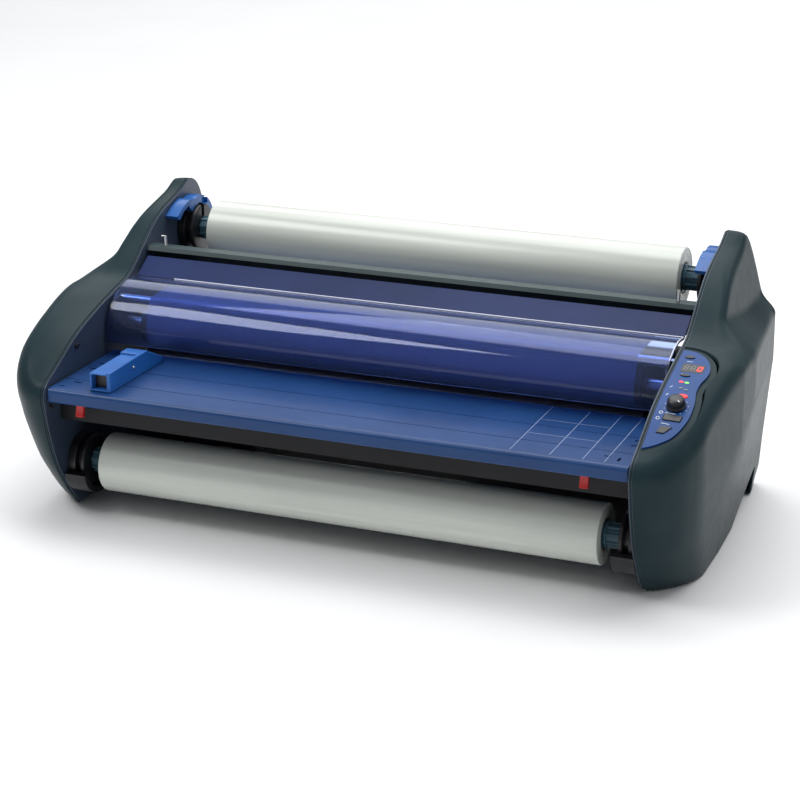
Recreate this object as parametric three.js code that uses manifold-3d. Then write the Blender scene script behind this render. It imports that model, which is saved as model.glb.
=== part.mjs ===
// Desktop roll laminator: two moulded side covers on a steel chassis, heated nip and pull rollers,
// two film supply rolls, a clear nip shield, a feed table with a paper guide, and a control panel.
// Millimetres. +X is the operator's right, +Y points to the back, +Z is up.
// The origin is under the middle of the machine, on the surface that it stands on.
import * as THREE from 'three';
import { mergeVertices } from 'three/addons/utils/BufferGeometryUtils.js';
import Module from 'manifold-3d';

const wasm = await Module();
wasm.setup();

// ---- driving dimensions ----
const TABLE_FRONT = -246;          // y of the feed table's front edge
const TABLE_TOP = 190;             // z of the feed table's top face
const TABLE_HALF = 389.5;          // half length of the feed table
const COVER_RIM = 397;             // |x| of the covers' inner rim
const SIDE_REAR = 55.5;            // rim to the side panel, at the panel's rear
const SIDE_TAPER = 0.112;          // widening of the side panel towards the front
const PANEL_REAR = 246;            // y where the side panel is narrowest
const COVER_WALL = 4;              // thickness of the moulded covers
const COVER_LIP = 8;               // width of their solid edge, seen from the side
const COVER_BASE = 2;              // z of the covers' bottom edge
const FIN_WIDTH = 24;              // thickness of the raised fin at its top
const FRAME_IN = 392;              // |x| of the end frames' inner face
const FRAME_OUT = 396.6;           // |x| of the end frames' outer face
const INSIDE_HALF = 391.5;         // half length of everything that spans between the frames
const GAP = 0.3;                   // clearance between parts that touch
const FILM_HALF = 343;             // half of the 27 inch film width
const FILM_BORE = 19;              // inner radius of the film core
const UPPER_SUPPLY = { y: 167.5, z: 307.5, r: 40.3 };
const LOWER_SUPPLY = { y: -167.5, z: 69.5, r: 39.3 };
const GEAR_MODULE = 2.5;
const HEAT_TEETH = 23;
const PULL_TEETH = 16;
const TRANSFER_TEETH = 27;
const PINION_TEETH = 12;
const NIP_Z = 192;                 // height of the film path
const HEAT_Y = -31;
const HEAT_R = 28.4;
const PULL_Y = 84;
const PULL_R = 19.8;
const ROLLER_HALF = 352;           // half length of the rubber face of the rollers
const JOURNAL_R = 9;
const GEAR_IN = 401;
const GEAR_OUT = 411;
const UPPER_IDLER = { y: -41, z: 256.5, r: 6 };
const LOWER_IDLER = { y: -96, z: 145, r: 7 };

const heatUpper = { y: HEAT_Y, z: NIP_Z + GEAR_MODULE * HEAT_TEETH / 2 };
const heatLower = { y: HEAT_Y, z: NIP_Z - GEAR_MODULE * HEAT_TEETH / 2 };
const pullUpper = { y: PULL_Y, z: NIP_Z + GEAR_MODULE * PULL_TEETH / 2 };
const pullLower = { y: PULL_Y, z: NIP_Z - GEAR_MODULE * PULL_TEETH / 2 };

// ---- shape helpers ----
function solid(geometry) {
  const bare = geometry.index ? geometry.toNonIndexed() : geometry.clone();
  bare.deleteAttribute('normal');
  bare.deleteAttribute('uv');
  const merged = mergeVertices(bare, 1e-4);
  return new wasm.Manifold(new wasm.Mesh({
    numProp: 3,
    vertProperties: new Float32Array(merged.attributes.position.array),
    triVerts: new Uint32Array(merged.index.array),
  }));
}

function geometryOf(manifold) {
  const mesh = manifold.getMesh();
  const geometry = new THREE.BufferGeometry();
  geometry.setAttribute('position', new THREE.BufferAttribute(new Float32Array(mesh.vertProperties), 3));
  geometry.setIndex(new THREE.BufferAttribute(new Uint32Array(mesh.triVerts), 1));
  return geometry;
}

function cut(body, ...tools) {
  return tools.reduce((rest, tool) => rest.subtract(solid(tool)), body.subtract ? body : solid(body));
}

function join(...bodies) {
  return bodies.map(solid).reduce((whole, body) => whole.add(body));
}

function box(x0, x1, y0, y1, z0, z1) {
  return new THREE.BoxGeometry(x1 - x0, y1 - y0, z1 - z0)
    .translate((x0 + x1) / 2, (y0 + y1) / 2, (z0 + z1) / 2);
}

function rodX(axis, radius, x0, x1, segments = 32) {
  return new THREE.CylinderGeometry(radius, radius, x1 - x0, segments)
    .rotateZ(Math.PI / 2)
    .translate((x0 + x1) / 2, axis.y, axis.z);
}

// A turned part on an axis along X; the profile is a list of [radius, x].
function turnedX(axis, profile, segments = 40) {
  return new THREE.LatheGeometry(profile.map(([r, x]) => new THREE.Vector2(r, x)), segments)
    .rotateZ(-Math.PI / 2)
    .translate(0, axis.y, axis.z);
}

// A YZ outline, given as [y, z] points or a Shape, drawn out along X.
function alongX(outline, x0, x1) {
  const shape = outline instanceof THREE.Shape ? outline
    : new THREE.Shape(outline.map(([y, z]) => new THREE.Vector2(y, z)));
  const turn = new THREE.Matrix4().set(0, 0, 1, 0, 1, 0, 0, 0, 0, 1, 0, 0, 0, 0, 0, 1);
  return new THREE.ExtrudeGeometry(shape, { depth: x1 - x0, bevelEnabled: false, curveSegments: 8 })
    .applyMatrix4(turn)
    .translate(x0, 0, 0);
}

// An XY outline drawn out along Z.
function alongZ(outline, z0, z1, curveSegments = 8) {
  const shape = outline instanceof THREE.Shape ? outline
    : new THREE.Shape(outline.map(([x, y]) => new THREE.Vector2(x, y)));
  return new THREE.ExtrudeGeometry(shape, { depth: z1 - z0, bevelEnabled: false, curveSegments })
    .translate(0, 0, z0);
}

function smooth(points, count) {
  const curve = new THREE.SplineCurve(points.map(([a, b]) => new THREE.Vector2(a, b)));
  return curve.getPoints(count).map((p) => [p.x, p.y]);
}

function arc(centre, radius, from, to, count) {
  return Array.from({ length: count + 1 }, (_, i) => {
    const angle = THREE.MathUtils.degToRad(from + (to - from) * i / count);
    return [centre.y + radius * Math.cos(angle), centre.z + radius * Math.sin(angle)];
  });
}

function mirrored(geometry) {
  const flipped = geometry.index ? geometry.toNonIndexed() : geometry.clone();
  flipped.scale(-1, 1, 1);
  const p = flipped.attributes.position;
  for (let i = 0; i < p.count; i += 3) {
    const [x, y, z] = [p.getX(i), p.getY(i), p.getZ(i)];
    p.setXYZ(i, p.getX(i + 1), p.getY(i + 1), p.getZ(i + 1));
    p.setXYZ(i + 1, x, y, z);
  }
  return flipped;
}

// ---- the part and its materials ----
const laminator = new THREE.Group();

function material(color, roughness, metalness = 0, opacity = 1) {
  return new THREE.MeshStandardMaterial({ color, roughness, metalness, opacity, transparent: opacity < 1 });
}

const finish = {
  charcoal: material(0x34444a, 0.45),
  blackSteel: material(0x15171b, 0.5, 0.3),
  steel: material(0xa9adb0, 0.3, 1),
  greyDeck: material(0x3c474c, 0.45),
  blue: material(0x2452a0, 0.4),
  brightBlue: material(0x1e5fb9, 0.35),
  blackPlastic: material(0x121417, 0.4),
  clearBlue: material(0x4a5aa8, 0.08, 0, 0.4),
  film: material(0xc4ccc6, 0.25),
  tealGrey: material(0x47606a, 0.45),
  silicone: material(0x8a2f22, 0.7),
  rubber: material(0x1b1c1e, 0.85),
  red: material(0xc81a1a, 0.4),
  brass: material(0xb8924a, 0.35, 0.9),
  board: material(0x0f5a34, 0.6),
  darkGlass: material(0x140809, 0.1),
};

function add(name, shape, look, group = laminator) {
  const geometry = shape.getMesh ? geometryOf(shape) : shape;
  geometry.computeVertexNormals();
  const mesh = new THREE.Mesh(geometry, look);
  mesh.name = name;
  group.add(mesh);
  return mesh;
}

// ---- outline of the covers, seen from the side ----
const NOSE = [-254, 178];
const FRONT_FOOT = [-168, COVER_BASE];
const PEAK = [176, 375];
const REAR_FOOT = [254, COVER_BASE];
const frontEdge = [FRONT_FOOT, [-190, 25], [-208, 50], [-226, 80], [-243, 128], [-250, 160], NOSE];
const topEdge = [NOSE, [-245, 194], [-218, 208], [-163, 237], [-108, 256], [-51, 271], [-12, 281],
  [10, 294], [39, 316], [70, 337], [101, 350], [148, 363], PEAK];
const rearEdge = [PEAK, [196, 369], [213, 347], [228, 300], [242, 240], [250, 120], REAR_FOOT];

function heightOf(edge, y) {
  for (let i = 1; i < edge.length; i += 1) {
    const [a, b] = [edge[i - 1], edge[i]];
    if ((y - a[0]) * (y - b[0]) <= 0 && a[0] !== b[0]) {
      return a[1] + (b[1] - a[1]) * (y - a[0]) / (b[0] - a[0]);
    }
  }
  return y < edge[0][0] ? edge[0][1] : edge[edge.length - 1][1];
}

const topCurve = smooth(topEdge, 48);
const topHeight = (y) => heightOf(topCurve, y);

// Cover skin: it rises from the rim over the front, top and rear edges, up to the width of the body.
const SPINE_Z = 150;
const SPINE_FRONT = -165;
const SPINE_REAR = 212;
const frontCurve = smooth(frontEdge, 24);
const rearCurve = smooth(rearEdge, 24);
const clamp01 = (t) => Math.min(Math.max(t, 0), 1);
const ease = (t) => clamp01(t) ** 2 * (3 - 2 * clamp01(t));

function placeAt(edge, z) {
  for (let i = 1; i < edge.length; i += 1) {
    const [a, b] = [edge[i - 1], edge[i]];
    if ((z - a[1]) * (z - b[1]) <= 0 && a[1] !== b[1]) {
      return a[0] + (b[0] - a[0]) * (z - a[1]) / (b[1] - a[1]);
    }
  }
  return z < edge[0][1] ? edge[0][0] : edge[edge.length - 1][0];
}

// 0 at the outline, rising to 1 over a quarter circle.
const roundEdge = (distance, radius) => Math.sqrt(1 - (1 - clamp01(distance / radius)) ** 2);

function softMin(a, b, blend) {
  const share = clamp01(0.5 + 0.5 * (b - a) / blend);
  return b + (a - b) * share - blend * share * (1 - share);
}

// Distance from the rim plane to the side panel, which tapers to the back and drafts to the ground.
function sideReach(y, z) {
  const low = clamp01((TABLE_TOP - z) / TABLE_TOP);
  return SIDE_REAR - 15.5 * low + (SIDE_TAPER - 0.05 * low) * (PANEL_REAR - y);
}

// The rounded front bulge. It meets the side panel at a crease, and fills out to the back.
function bulgeReach(y, z, inset) {
  const foot = clamp01((168 - z) / 168);
  const frontAt = inset + (z <= NOSE[1] ? placeAt(frontCurve, z) : NOSE[0]);
  const inward = 1 - clamp01((y - frontAt) / (80 + 25 * foot));
  const corner = (1 - inward ** (2 + 0.5 * foot)) ** (0.5 + 0.35 * foot);
  const belly = 1 - ease(foot) ** 0.8;
  const growth = Math.max(y - frontAt - 50, 0) * 0.085 * belly;
  return (55.5 + 11 * belly + Math.min(growth, 14)) * corner;
}

// Above its shoulder the cover narrows, in an S-shaped curve, to the raised fin.
function finReach(y, z, wide) {
  const back = ease((y - 20) / 130);
  const fin = FIN_WIDTH + 15 * clamp01((362 - z) / 80);
  const full = ease((302 - 17 * back - z) / (48 - 18 * back));
  const narrow = fin + (wide - fin) * full;
  return wide + (Math.min(narrow, wide) - wide) * ease((y + 80) / 90);
}

function skinWidth(y, z, inset, wall) {
  const crease = 1.2 + 14 * clamp01((205 - z) / 130);
  const open = softMin(sideReach(y, z), bulgeReach(y, z, inset), crease);
  const wide = Math.max(finReach(y, z, open) - wall, 0);
  const radius = 22 - 9 * ease((y + 25) / 60);
  const flat = Math.max(wide - radius, 0.3 * wide);
  const drop = topHeight(Math.min(y, PEAK[0])) - z - inset;
  const top = flat + (wide - flat) * roundEdge(drop, radius);
  return top * roundEdge(placeAt(rearCurve, z) - y - inset, 14 - 8 * ease((90 - z) / 90));
}

// How far the front's top surface swells above its rim.
function crown(width, y, z) {
  const swell = 7 * ease((y + 250) / 45) * ease((-20 - y) / 70);
  return swell * Math.sin(Math.PI * clamp01(width / 78)) * (1 - ease((topHeight(y) - z) / 40));
}

// Points of the outline in order: up the front, over the top, down the rear and back along the bottom.
function outlinePoints(bottom) {
  const upper = [...smooth(frontEdge, 9), ...smooth(topEdge, 20).slice(1), ...smooth(rearEdge, 9).slice(1)];
  const lower = upper.filter(([y], i) => i > 8 && y > SPINE_FRONT && y < SPINE_REAR)
    .map(([y]) => [y, bottom])
    .reverse();
  return [...upper, ...lower];
}

// A solid under the skin, on a flat face at x = base. Rings of points close in on a spine line. The first
// rings cross the top surface at the outline itself, at a share of its width.
function skinSolid(inset, wall, base, bottom) {
  const outline = outlinePoints(COVER_BASE);
  const spineY = (y) => Math.min(Math.max(y, SPINE_FRONT), SPINE_REAR);
  const ledges = inset > 0 ? [] : [0.3, 0.65];
  const shares = [...ledges.map(() => 0), 0, 0.05, 0.13, 0.27, 0.46, 0.7, 1];
  const rings = shares.map((share, k) => outline.map(([y, z]) => {
    const [toY, toZ] = [spineY(y) - y, SPINE_Z - z];
    const span = Math.hypot(toY, toZ);
    const onBottom = z <= COVER_BASE && y > FRONT_FOOT[0] + 1 && y < REAR_FOOT[0] - 1;
    const start = onBottom ? 0 : inset;
    const along = (start + (span - start) * share) / span;
    const [py, pz] = [y + toY * along, z + toZ * along];
    const drop = onBottom ? (bottom - COVER_BASE) * (1 - share) : 0;
    const width = skinWidth(py, pz, inset, wall) * (ledges[k] ?? 1);
    const swell = inset > 0 ? 0 : crown(width, py, pz);
    return [Math.max(COVER_RIM + width, base + 0.5), py, pz + drop + swell];
  }));
  const layers = [rings[0].map(([, y, z]) => [base, y, z]), ...rings];
  const corners = [];
  const same = (a, b) => Math.hypot(a[0] - b[0], a[1] - b[1], a[2] - b[2]) < 1e-3;
  const face = (a, b, c) => {
    if (!same(a, b) && !same(b, c) && !same(a, c)) corners.push(...a, ...b, ...c);
  };
  for (let k = 1; k < layers.length; k += 1) {
    outline.forEach((_, i) => {
      const next = (i + 1) % outline.length;
      face(layers[k - 1][i], layers[k][next], layers[k - 1][next]);
      face(layers[k - 1][i], layers[k][i], layers[k][next]);
    });
  }
  const flat = layers[0].map(([, y, z]) => new THREE.Vector2(y, z)).reverse();
  const last = flat.length - 1;
  const winding = Math.sign(THREE.ShapeUtils.area(flat));
  THREE.ShapeUtils.triangulateShape(flat, []).forEach(([a, b, c]) => {
    const turn = Math.sign(THREE.ShapeUtils.area([flat[a], flat[b], flat[c]]));
    const [p, q, r] = [layers[0][last - a], layers[0][last - b], layers[0][last - c]];
    if (turn === winding) face(p, r, q); else face(p, q, r);
  });
  const geometry = new THREE.BufferGeometry();
  geometry.setAttribute('position', new THREE.BufferAttribute(new Float32Array(corners), 3));
  return geometry;
}

// ---- side covers ----
const PANEL_FROM = -219;           // y range of the control panel on the right cover
const PANEL_TO = -39;
const panelOutline = new THREE.Shape();
panelOutline.moveTo(400.5, PANEL_FROM + 1);
panelOutline.splineThru([[418, -210], [436, -189], [442, -165], [440, -141], [437, -118], [441, -90],
  [440, -66],
  [428, -46], [412, -39]].map(([x, y]) => new THREE.Vector2(x, y)));
panelOutline.lineTo(400.5, PANEL_TO + 1);

// A band that follows the covers' top edge, between two offsets from it.
function topBand(low, high, x0, x1, from, to) {
  const steps = Array.from({ length: 11 }, (_, i) => from + (to - from) * i / 10);
  const upper = steps.map((y) => [y, topHeight(y) + high]);
  const lower = steps.map((y) => [y, topHeight(y) + low]);
  return alongX([...lower, ...upper.reverse()], x0, x1);
}

// A long arch in the cover's lower edge, ahead of the rear foot, leaves room for a hand.
const handHoldEdge = [[205, 34], [203.5, 40], [198, 43], [185, 42], [168, 39], [146, 33], [120, 24],
  [97, 16], [80, 10], [64, 3], [50, -5]];
const coverShell = cut(skinSolid(0, 0, COVER_RIM, COVER_BASE),
  skinSolid(COVER_LIP, COVER_WALL, COVER_RIM - 1, COVER_BASE - 6));

const handHold = alongX([[196, -5], ...smooth(handHoldEdge, 20)], 405, 490);
const sideCover = coverShell.subtract(solid(handHold));
const panelPocket = solid(alongZ(panelOutline, 100, 400, 2)).intersect(solid(topBand(-24, 20, 397.8, 446,
  -222, -36)));
add('right_side_cover', sideCover.subtract(panelPocket), finish.charcoal);
add('left_side_cover', mirrored(geometryOf(sideCover)), finish.charcoal);

// ---- control panel ----
const PANEL_RISE = 1;
const PANEL_THICK = 3;
const panelSlope = (y) => Math.atan2(topHeight(y + 4) - topHeight(y - 4), 8);

// Puts a shape built on z = 0 onto the panel's surface.
function onPanel(geometry, x, y, lift = 0) {
  const slope = panelSlope(y);
  const height = topHeight(y) + PANEL_RISE + lift * Math.cos(slope);
  return geometry.rotateX(slope).translate(x, y - lift * Math.sin(slope), height);
}

function ovalShape(width, depth) {
  const shape = new THREE.Shape();
  shape.absellipse(0, 0, width / 2, depth / 2, 0, Math.PI * 2);
  return shape;
}

function trapezoid(near, far, depth) {
  return [[-near / 2, -depth / 2], [near / 2, -depth / 2], [far / 2, depth / 2], [-far / 2, depth / 2]];
}

const controls = [
  { name: 'power_button', x: 410.5, y: -54, outline: ovalShape(13, 7) },
  { name: 'mode_button', x: 415.5, y: -94.5, outline: ovalShape(13, 5.5) },
  { name: 'standby_button', x: 423.5, y: -136, outline: ovalShape(14, 8) },
  { name: 'run_button', x: 422, y: -174, outline: trapezoid(23, 24, 11) },
  { name: 'stop_button', x: 416.5, y: -192, outline: trapezoid(9, 20, 11) },
];
const WINDOW = { x: 420.5, y: -77.5, w: 29, d: 20 };
const KNOB = { x: 421.5, y: -155, r: 11.5, shaft: 3 };
const BUTTON_TRAVEL = 1.5;

function grown(outline, scale) {
  const points = outline instanceof THREE.Shape ? outline.getPoints(12).map((p) => [p.x, p.y]) : outline;
  return points.map(([x, y]) => [x * scale, y * scale]);
}

function panelPlate() {
  const inset = solid(alongZ(panelOutline, 100, 400, 2))
    .intersect(solid(topBand(PANEL_RISE - PANEL_THICK, PANEL_RISE, 400.8, 441.5, -217, -41)));
  const holes = controls.map(({ x, y, outline }) => onPanel(alongZ(grown(outline, 1.08), -12, 12), x, y));
  const window = onPanel(box(-WINDOW.w / 2, WINDOW.w / 2, -WINDOW.d / 2, WINDOW.d / 2, -12, 12),
    WINDOW.x, WINDOW.y);
  const shaft = onPanel(new THREE.CylinderGeometry(4, 4, 24, 20).rotateX(Math.PI / 2), KNOB.x, KNOB.y);
  return cut(inset, ...holes, window, shaft);
}

add('control_panel', panelPlate(), finish.blue);
add('display_window', onPanel(box(-WINDOW.w / 2 + GAP, WINDOW.w / 2 - GAP, -WINDOW.d / 2 + GAP,
  WINDOW.d / 2 - GAP,
  -3.5, -0.6), WINDOW.x, WINDOW.y), finish.darkGlass);
controls.forEach(({ name, x, y, outline }) => {
  const look = name === 'standby_button' ? finish.red : finish.blackPlastic;
  add(name, onPanel(alongZ(grown(outline, 1), -6, 2), x, y), look);
});

function knobShape() {
  const skirt = turnedZ([[0, 0.6], [KNOB.r, 0.6], [KNOB.r, 2.5], [KNOB.r - 2.5, 3.5], [KNOB.r - 3.5, 12],
    [0, 13]], 24);
  const shaft = new THREE.CylinderGeometry(KNOB.shaft, KNOB.shaft, 13,
    16).rotateX(Math.PI / 2).translate(0, 0, -5.5);
  const pointer = box(-0.8, 0.8, 2, KNOB.r - 3.6, 11, 14);
  return geometryOf(join(skirt, shaft, pointer));
}

function turnedZ(profile, segments) {
  return new THREE.LatheGeometry(profile.map(([r, z]) => new THREE.Vector2(r, z)), segments)
    .rotateX(Math.PI / 2);
}

add('speed_knob', onPanel(knobShape(), KNOB.x, KNOB.y), finish.blackPlastic);

// ---- chassis ----
const journals = [heatUpper, heatLower, pullUpper, pullLower];

function frameOutline() {
  const inset = 3;
  const upper = [...smooth(frontEdge, 10), ...smooth(topEdge, 24).slice(1), ...smooth(rearEdge,
    10).slice(1)];
  const centre = { y: 10, z: 150 };
  return upper.map(([y, z]) => {
    const reach = Math.hypot(centre.y - y, centre.z - z);
    const low = z < 12 ? 12 : z;
    return [y + (centre.y - y) * inset / reach, low + (centre.z - low) * inset / reach];
  });
}

function sideFrame() {
  const plate = alongX(frameOutline(), FRAME_IN, FRAME_OUT);
  const bores = journals.map((axis) => rodX(axis, JOURNAL_R + 1, FRAME_IN - 2, FRAME_OUT + 2, 16));
  return cut(plate, ...bores);
}

const framePlate = sideFrame();
add('left_side_frame', mirrored(geometryOf(framePlate)), finish.blackSteel);

const sheet = (outline) => alongX(outline, -INSIDE_HALF, INSIDE_HALF);
add('base_pan', sheet([[-90, 40], [-90, 10], [236, 10], [236, 36], [234, 36], [234, 12.5], [-87.5, 12.5],
  [-87.5, 40]]),
  finish.blackSteel);
add('front_tie_bar', sheet([[-212, 138], [-186, 138], [-186, 164], [-188.5, 164], [-188.5, 140.5],
  [-209.5, 140.5],
  [-209.5, 164], [-212, 164]]), finish.blackSteel);
const EXIT = { half: 350, low: 180, high: 206 };
add('rear_panel', rearPanel(), finish.blackSteel);

function rearPanel() {
  const panel = box(-INSIDE_HALF, INSIDE_HALF, 236.5, 239, 13, 244);
  const slot = box(-EXIT.half, EXIT.half, 230, 245, EXIT.low, EXIT.high);
  const vents = [];
  for (let i = 0; i < 14; i += 1) {
    vents.push(box(-300 + i * 24, -292 + i * 24, 230, 245, 60, 120));
  }
  const inlet = box(-350, -322, 230, 245, 40, 62);
  const rocker = box(-350, -336, 230, 245, 74, 96);
  return cut(panel, slot, inlet, rocker, ...vents);
}

add('top_crossbar', sheet([[39, 303.5], [42, 309], [60, 309], [82, 259], [236, 248], [236, 245.5], [80,
  256.5],
  [57, 305], [45, 305], [42, 303.5]]), finish.greyDeck);
add('exit_tray', sheet([[108, 188], [112, 189.5], [236, 189.5], [236, 187], [112, 187], [108, 185.5]]),
  finish.blackSteel);
for (const [side, sign] of [['left', -1], ['right', 1]]) {
  for (const [end, y] of [['front', -60], ['rear', 205]]) {
    const foot = turnedZ([[0, 0], [12, 0], [14, 2], [14, 9.7], [0, 9.7]], 20).translate(sign * 360, y, 0);
    add(`${side}_${end}_foot`, foot, finish.rubber);
  }
}

// ---- rollers, idlers and their gears ----
function roller(axis, radius, bore, leftEnd, rightEnd) {
  const shell = [[bore, leftEnd], [JOURNAL_R, leftEnd], [JOURNAL_R, -ROLLER_HALF], [radius, -ROLLER_HALF],
    [radius, ROLLER_HALF], [JOURNAL_R, ROLLER_HALF], [JOURNAL_R, rightEnd], [bore, rightEnd]];
  return turnedX(axis, bore > 0 ? [...shell, shell[0]] : shell, 24);
}

const LEFT_END = -400;
const RIGHT_END = GEAR_OUT + 2;
const HEAT_BORE = 6.5;
add('upper_heat_roller', roller(heatUpper, HEAT_R, HEAT_BORE, LEFT_END, RIGHT_END), finish.silicone);
add('lower_heat_roller', roller(heatLower, HEAT_R, HEAT_BORE, LEFT_END, RIGHT_END), finish.silicone);
add('upper_pull_roller', roller(pullUpper, PULL_R, 0, LEFT_END, RIGHT_END), finish.rubber);
add('lower_pull_roller', roller(pullLower, PULL_R, 0, LEFT_END, RIGHT_END), finish.rubber);
for (const [name, axis] of [['upper_heater_rod', heatUpper], ['lower_heater_rod', heatLower]]) {
  add(name, turnedX(axis, [[0, -412], [9, -412], [9, -404], [4.5, -404], [4.5, 424], [9, 424], [9, 430],
    [0, 430]], 20),
    finish.brass);
}
for (const [name, axis] of [['upper_idler', UPPER_IDLER], ['lower_idler', LOWER_IDLER]]) {
  add(name, turnedX(axis, [[0, -390], [3, -390], [3, -384], [axis.r, -384], [axis.r, 384], [3, 384], [3,
    390],
    [0, 390]], 20), finish.steel);
}

// Spur gear with slightly thin teeth. One tooth is centred on the angle given, in radians from +Y.
function gear(axis, teeth, phase, bore) {
  const pitch = GEAR_MODULE * teeth / 2;
  const half = Math.PI / (2 * teeth) - 0.16 / pitch;
  const steps = [[pitch - 1.2 * GEAR_MODULE, -1.5], [pitch, -1], [pitch + 0.95 * GEAR_MODULE, -0.42]];
  const outline = [];
  for (let i = 0; i < teeth; i += 1) {
    const centre = phase + 2 * Math.PI * i / teeth;
    const flank = [...steps, ...steps.slice().reverse().map(([r, side]) => [r, -side])];
    flank.forEach(([r, side]) => {
      const angle = centre + side * half;
      outline.push([axis.y + r * Math.cos(angle), axis.z + r * Math.sin(angle)]);
    });
  }
  return cut(alongX(outline, GEAR_IN, GEAR_OUT), rodX(axis, bore, GEAR_IN - 1, GEAR_OUT + 1, 16));
}

// Turns the second gear so that a gap of it faces a tooth of the first.
function meshPhase(a, teethA, phaseA, b, teethB) {
  const towards = Math.atan2(b.z - a.z, b.y - a.y);
  const turned = teethA * (phaseA - towards);
  return towards + Math.PI + (Math.PI - turned) / teethB;
}

// Centre of a gear that meshes with two others, on the lower side of the line between them.
function meshCentre(a, reachA, b, reachB) {
  const [dy, dz] = [b.y - a.y, b.z - a.z];
  const span = Math.hypot(dy, dz);
  const along = (reachA ** 2 - reachB ** 2 + span ** 2) / (2 * span);
  const off = Math.sqrt(reachA ** 2 - along ** 2);
  return { y: a.y + (dy * along + dz * off) / span, z: a.z + (dz * along - dy * off) / span };
}

const reach = (teethA, teethB) => GEAR_MODULE * (teethA + teethB) / 2;
const transfer = meshCentre(heatLower, reach(HEAT_TEETH, TRANSFER_TEETH), pullLower,
  reach(PULL_TEETH, TRANSFER_TEETH));
const PINION_ANGLE = -75 * Math.PI / 180;
const pinion = {
  y: transfer.y + reach(PINION_TEETH, TRANSFER_TEETH) * Math.cos(PINION_ANGLE),
  z: transfer.z + reach(PINION_TEETH, TRANSFER_TEETH) * Math.sin(PINION_ANGLE),
};
const MOTOR_SHAFT_HOLE = 7;
add('right_side_frame', framePlate.subtract(solid(rodX(pinion, MOTOR_SHAFT_HOLE, FRAME_IN - 2,
  FRAME_OUT + 2, 20))),
  finish.blackSteel);
const lowerHeatPhase = 0;
const upperHeatPhase = meshPhase(heatLower, HEAT_TEETH, lowerHeatPhase, heatUpper, HEAT_TEETH);
const transferPhase = meshPhase(heatLower, HEAT_TEETH, lowerHeatPhase, transfer, TRANSFER_TEETH);
const lowerPullPhase = meshPhase(transfer, TRANSFER_TEETH, transferPhase, pullLower, PULL_TEETH);
const upperPullPhase = meshPhase(pullLower, PULL_TEETH, lowerPullPhase, pullUpper, PULL_TEETH);
const pinionPhase = meshPhase(transfer, TRANSFER_TEETH, transferPhase, pinion, PINION_TEETH);
add('upper_heat_gear', gear(heatUpper, HEAT_TEETH, upperHeatPhase, JOURNAL_R + GAP), finish.steel);
add('lower_heat_gear', gear(heatLower, HEAT_TEETH, lowerHeatPhase, JOURNAL_R + GAP), finish.steel);
add('upper_pull_gear', gear(pullUpper, PULL_TEETH, upperPullPhase, JOURNAL_R + GAP), finish.steel);
add('lower_pull_gear', gear(pullLower, PULL_TEETH, lowerPullPhase, JOURNAL_R + GAP), finish.steel);
add('transfer_gear', gear(transfer, TRANSFER_TEETH, transferPhase, 6 + GAP), finish.steel);
add('motor_pinion', gear(pinion, PINION_TEETH, pinionPhase, 5 + GAP), finish.brass);
add('transfer_axle', turnedX(transfer, [[0, FRAME_OUT + GAP], [10, FRAME_OUT + GAP], [10, GEAR_IN - 1],
  [6, GEAR_IN - 1], [6, GEAR_OUT + 1], [8, GEAR_OUT + 1], [8, GEAR_OUT + 4], [0, GEAR_OUT + 4]], 24),
    finish.steel);
add('drive_motor', turnedX(pinion, [[0, 290], [34, 290], [34, 352], [42, 352], [42, FRAME_IN - GAP],
  [5, FRAME_IN - GAP], [5, GEAR_OUT + 2], [0, GEAR_OUT + 2]], 32), finish.blackSteel);

// ---- film supply ----
const STUB_R = 15;
const HUB = { inner: 367, outer: FRAME_IN - GAP, disc: 34, neck: 26, bore: 8.5 };

function filmRoll({ y, z, r }) {
  return turnedX({ y, z }, [[FILM_BORE, -FILM_HALF], [r, -FILM_HALF], [r, FILM_HALF], [FILM_BORE,
    FILM_HALF],
    [FILM_BORE, -FILM_HALF]], 36);
}

// The chuck plugs into the film core, and its pin turns in the bracket. The stub between them has ribs.
function chuck(axis) {
  const body = turnedX(axis, [[0, 310], [FILM_BORE - GAP, 310], [FILM_BORE - GAP, FILM_HALF - 1],
    [STUB_R - 2,
    FILM_HALF + 1], [STUB_R - 2, HUB.inner - 1], [8, HUB.inner - 1], [8, HUB.outer - 4], [0,
      HUB.outer - 4]], 20);
  const ribs = Array.from({ length: 8 }, (_, i) => box(FILM_HALF + 1, HUB.inner - 1, -1.2, 1.2,
    STUB_R - 4, STUB_R)
    .rotateX(i * Math.PI / 4)
    .translate(0, axis.y, axis.z));
  return geometryOf(join(body, ...ribs));
}

function bracket(axis) {
  return turnedX(axis, [[HUB.bore, HUB.inner], [HUB.disc, HUB.inner], [HUB.disc, HUB.inner + 6],
    [HUB.neck, HUB.inner + 6], [HUB.neck, HUB.outer - 6], [HUB.disc, HUB.outer - 6], [HUB.disc, HUB.outer],
    [HUB.bore, HUB.outer], [HUB.bore, HUB.inner]], 20);
}

// The arched cap over a supply bracket, with a tail towards the front. flip turns it upside down.
function bracketCap(axis, flip) {
  const cap = [...arc({ y: 0, z: 0 }, 46, 12, 108, 12), [-42, 44.5], [-68, 31], [-63, 22], [-40, 32],
    ...arc({ y: 0, z: 0 }, HUB.disc + 1, 125, 12, 12)];
  return alongX(cap.map(([y, z]) => [axis.y + y, axis.z + flip * z]), 372, FRAME_IN - GAP);
}

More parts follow.
